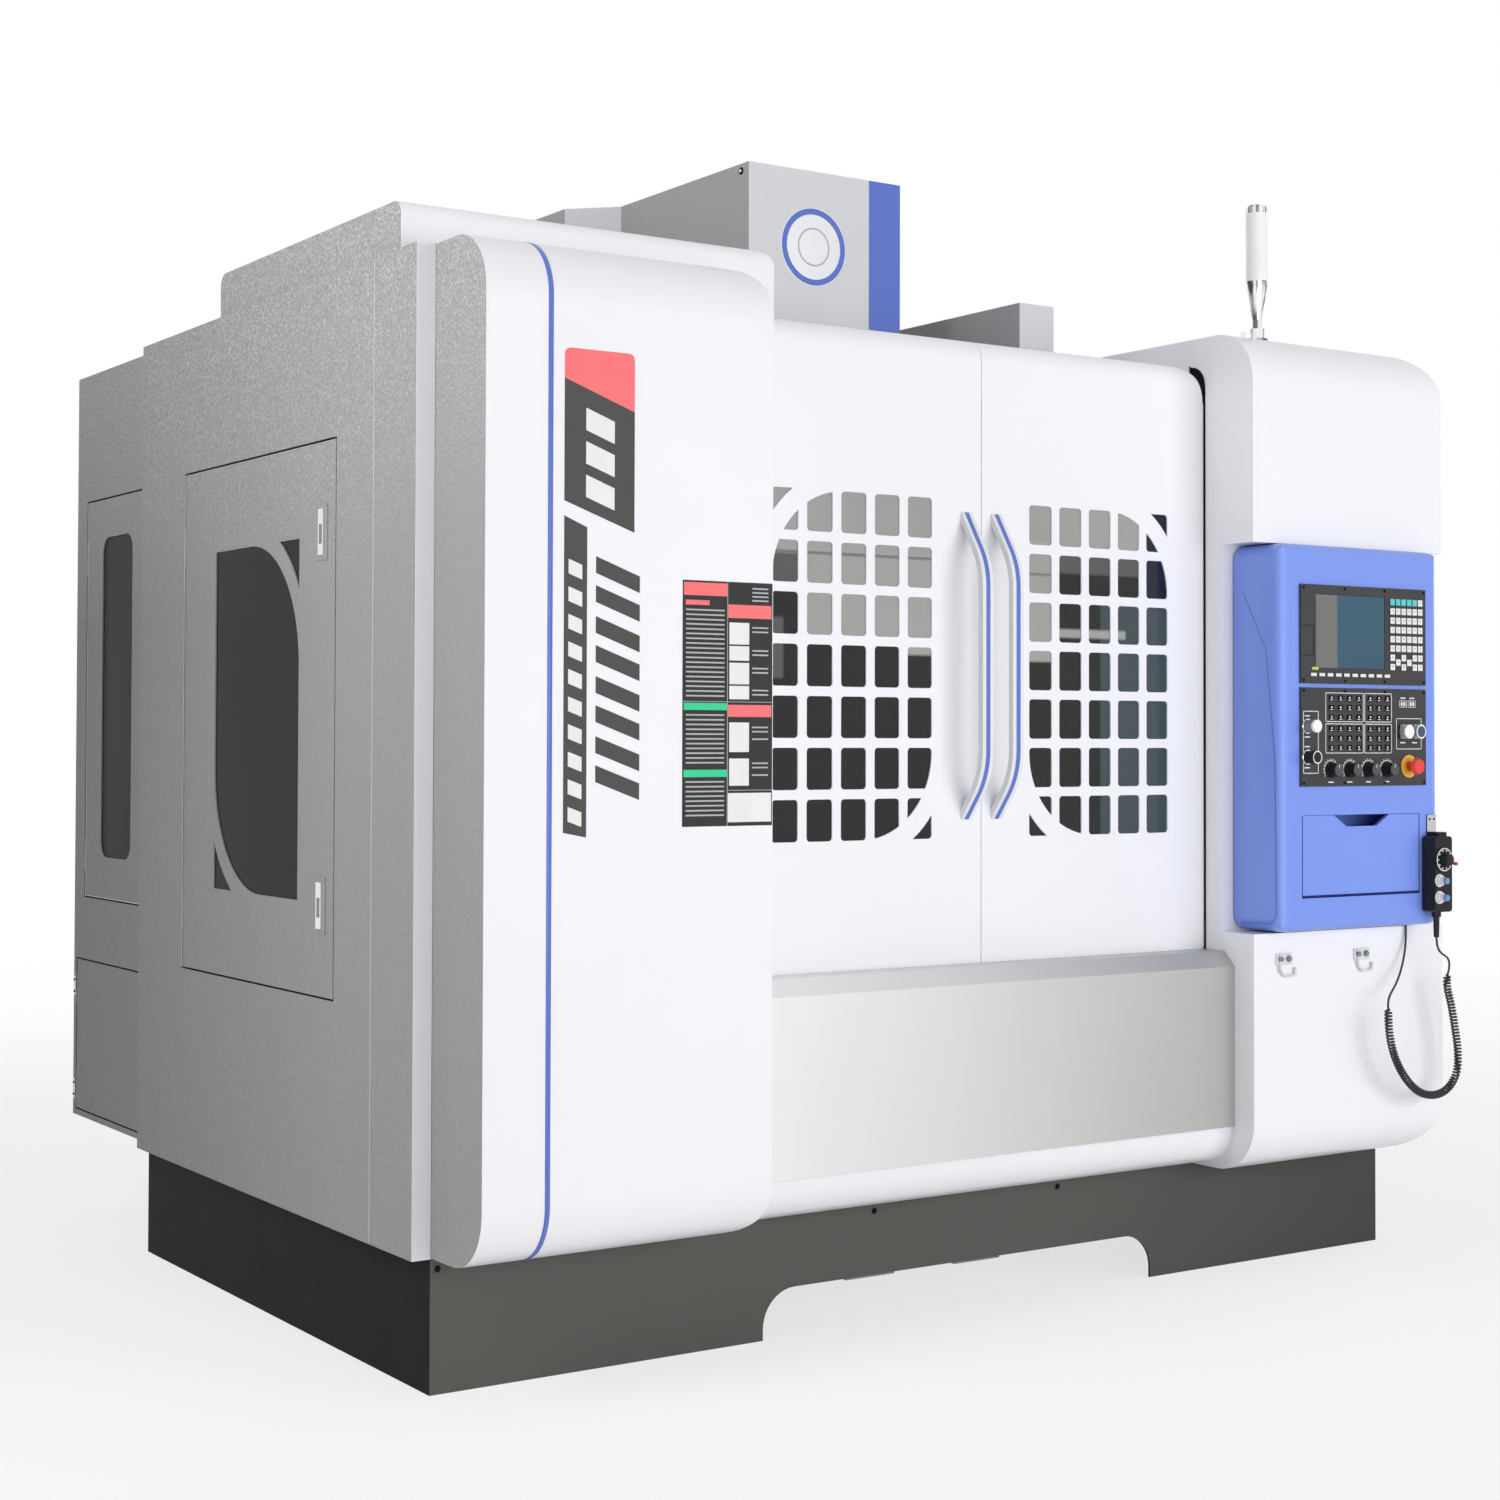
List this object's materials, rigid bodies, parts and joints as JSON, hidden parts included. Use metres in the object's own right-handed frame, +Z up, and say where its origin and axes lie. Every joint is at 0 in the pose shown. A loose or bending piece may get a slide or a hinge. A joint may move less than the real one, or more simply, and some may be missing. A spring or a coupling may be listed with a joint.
{
  "type": "cnc machining center",
  "caption": "Fully enclosed vertical CNC machining center with sliding doors, blue control box and pendant on a curly cord.",
  "frame": {"origin": "on the floor at the middle of the base's footprint, at the centre of the bed's middle floor pad", "axes": "+Z up, machine front (doors and control) towards -Y, +X to the operator's right"},
  "size_m": [2.55, 2.325, 2.47],
  "materials": {
    "white_paint": "satin",
    "silver_paint": "textured",
    "dark_paint": "satin",
    "casting_paint": "satin",
    "satin_metal": "brushed",
    "blue_paint": "satin",
    "chrome": "polished",
    "ground_steel": "ground",
    "black_plastic": "matte",
    "white_plastic": "gloss",
    "red_plastic": "gloss",
    "blue_plastic": "gloss",
    "glass": "clear",
    "cable": "matte"
  },
  "bodies": {
    "machine": {"base_skirt": "dark_paint", "bed_casting": "casting_paint", "column_casting": "casting_paint", "left_side_panel": "silver_paint", "right_side_panel": "silver_paint", "rear_panel": "silver_paint", "roof_panel": "white_paint", "roof_cover": "silver_paint", "roof_duct": "silver_paint", "tower_hood": "white_paint", "rear_cabinet": "silver_paint", "lubrication_tank": "blue_plastic", "electrical_cabinet": "silver_paint", "left_front_cover": "white_paint", "right_column_cover": "white_paint", "lower_front_panel": "satin_metal", "kick_strip": "white_paint", "door_sill": "satin_metal", "lamp_body": "chrome", "lamp_lens": "white_plastic", "hanger_hooks": "chrome"},
    "left_door": {"left_door": "white_paint", "left_door_glass": "glass", "left_handle": "chrome"},
    "right_door": {"right_door": "white_paint", "right_door_glass": "glass", "right_handle": "chrome"},
    "side_door": {"side_door": "silver_paint", "side_door_glass": "glass"},
    "latch_upper": {"latch_upper": "chrome"},
    "latch_lower": {"latch_lower": "chrome"},
    "rear_upper_door": {"rear_upper_door": "silver_paint", "rear_upper_glass": "glass"},
    "rear_lower_door": {"rear_lower_door": "silver_paint"},
    "control_box": {"control_box": "blue_paint", "screen_module": "black_plastic", "operator_module": "black_plastic", "pendant_body": "black_plastic", "pendant_lead": "cable", "curly_cord": "cable", "box_lead": "cable"},
    "tray_flap": {"tray_flap": "blue_paint"},
    "emergency_button": {"emergency_button": "red_plastic"},
    "start_button": {"start_button": "white_plastic"},
    "stop_button": {"stop_button": "black_plastic"},
    "guarded_button_1": {"guarded_button_1": "white_plastic"},
    "guarded_button_2": {"guarded_button_2": "white_plastic"},
    "pendant_dial": {"pendant_dial": "black_plastic"},
    "pendant_switch_1": {"pendant_switch_1": "white_plastic"},
    "pendant_switch_2": {"pendant_switch_2": "white_plastic"},
    "saddle": {"saddle": "casting_paint"},
    "table": {"table": "ground_steel"},
    "spindle_head": {"spindle_head": "casting_paint"},
    "spindle": {"spindle": "ground_steel"},
    "magazine_arm": {"magazine_arm": "casting_paint"},
    "magazine_disc": {"magazine_disc": "ground_steel"},
    "override_knob_1": {"override_knob_1": "black_plastic"},
    "override_knob_2": {"override_knob_2": "black_plastic"},
    "override_knob_3": {"override_knob_3": "black_plastic"},
    "override_knob_4": {"override_knob_4": "black_plastic"}
  },
  "joints": [
    {"name": "left_door_slide", "type": "slide", "parent": "machine", "child": "left_door", "axis": [-1, 0, 0], "range_m": [0, 0.56]},
    {"name": "right_door_slide", "type": "slide", "parent": "machine", "child": "right_door", "axis": [1, 0, 0], "range_m": [0, 0.56]},
    {"name": "side_door_hinge", "type": "hinge", "parent": "machine", "child": "side_door", "pos_m": [-1.2685, 0.427, 1.2], "axis": [0, 0, 1], "range_deg": [-95, 0]},
    {"name": "latch_upper_pull", "type": "hinge", "parent": "side_door", "child": "latch_upper", "pos_m": [-1.2743, -0.308, 1.58], "axis": [0, 0, 1], "range_deg": [-30, 0], "stiffness_Nm_per_rad": 0.5},
    {"name": "latch_lower_pull", "type": "hinge", "parent": "side_door", "child": "latch_lower", "pos_m": [-1.2743, -0.308, 0.856], "axis": [0, 0, 1], "range_deg": [-30, 0], "stiffness_Nm_per_rad": 0.5},
    {"name": "rear_upper_door_hinge", "type": "hinge", "parent": "machine", "child": "rear_upper_door", "pos_m": [-1.2265, 1.212, 1.2], "axis": [0, 0, 1], "range_deg": [-95, 0]},
    {"name": "rear_lower_door_hinge", "type": "hinge", "parent": "machine", "child": "rear_lower_door", "pos_m": [-1.2265, 1.266, 0.45], "axis": [0, 0, 1], "range_deg": [-95, 0]},
    {"name": "control_box_swivel", "type": "hinge", "parent": "machine", "child": "control_box", "pos_m": [1.15, -0.858, 1.18], "axis": [0, 0, 1], "range_deg": [0, 45]},
    {"name": "tray_flap_hinge", "type": "hinge", "parent": "control_box", "child": "tray_flap", "pos_m": [0.92, -0.968, 0.846], "axis": [1, 0, 0], "range_deg": [0, 90]},
    {"name": "emergency_button_press", "type": "slide", "parent": "control_box", "child": "emergency_button", "axis": [0, 1, 0], "range_m": [0, 0.004]},
    {"name": "start_button_press", "type": "slide", "parent": "control_box", "child": "start_button", "axis": [0, 1, 0], "range_m": [0, 0.004], "stiffness_N_per_m": 400},
    {"name": "stop_button_press", "type": "slide", "parent": "control_box", "child": "stop_button", "axis": [0, 1, 0], "range_m": [0, 0.004], "stiffness_N_per_m": 400},
    {"name": "guarded_button_1_press", "type": "slide", "parent": "control_box", "child": "guarded_button_1", "axis": [0, 1, 0], "range_m": [0, 0.004], "stiffness_N_per_m": 400},
    {"name": "guarded_button_2_press", "type": "slide", "parent": "control_box", "child": "guarded_button_2", "axis": [0, 1, 0], "range_m": [0, 0.004], "stiffness_N_per_m": 400},
    {"name": "override_knob_1_turn", "type": "hinge", "parent": "control_box", "child": "override_knob_1", "pos_m": [0.816, -0.979, 1.116], "axis": [0, 1, 0], "range_deg": [-135, 135]},
    {"name": "override_knob_2_turn", "type": "hinge", "parent": "control_box", "child": "override_knob_2", "pos_m": [0.8755, -0.979, 1.116], "axis": [0, 1, 0], "range_deg": [-135, 135]},
    {"name": "override_knob_3_turn", "type": "hinge", "parent": "control_box", "child": "override_knob_3", "pos_m": [0.935, -0.979, 1.116], "axis": [0, 1, 0], "range_deg": [-135, 135]},
    {"name": "override_knob_4_turn", "type": "hinge", "parent": "control_box", "child": "override_knob_4", "pos_m": [0.9945, -0.979, 1.116], "axis": [0, 1, 0], "range_deg": [-135, 135]},
    {"name": "pendant_dial_turn", "type": "hinge", "parent": "control_box", "child": "pendant_dial", "pos_m": [1.141, -1.013, 0.913], "axis": [0, 1, 0], "continuous": true},
    {"name": "pendant_switch_1_turn", "type": "hinge", "parent": "control_box", "child": "pendant_switch_1", "pos_m": [1.128, -1.013, 0.866], "axis": [0, 1, 0], "range_deg": [-60, 60]},
    {"name": "pendant_switch_2_turn", "type": "hinge", "parent": "control_box", "child": "pendant_switch_2", "pos_m": [1.128, -1.013, 0.828], "axis": [0, 1, 0], "range_deg": [-60, 60]},
    {"name": "y_travel", "type": "slide", "parent": "machine", "child": "saddle", "axis": [0, 1, 0], "range_m": [-0.25, 0.25]},
    {"name": "x_travel", "type": "slide", "parent": "saddle", "child": "table", "axis": [1, 0, 0], "range_m": [-0.4, 0.4]},
    {"name": "z_travel", "type": "slide", "parent": "machine", "child": "spindle_head", "axis": [0, 0, 1], "range_m": [-0.5, 0]},
    {"name": "spindle_rotation", "type": "hinge", "parent": "spindle_head", "child": "spindle", "pos_m": [0, -0.095, 1.5], "axis": [0, 0, 1], "continuous": true},
    {"name": "magazine_advance", "type": "slide", "parent": "machine", "child": "magazine_arm", "axis": [1, 0, 0], "range_m": [0, 0.345]},
    {"name": "magazine_rotation", "type": "hinge", "parent": "magazine_arm", "child": "magazine_disc", "pos_m": [-0.595, -0.095, 1.455], "axis": [0, 0, 1], "continuous": true}
  ]
}
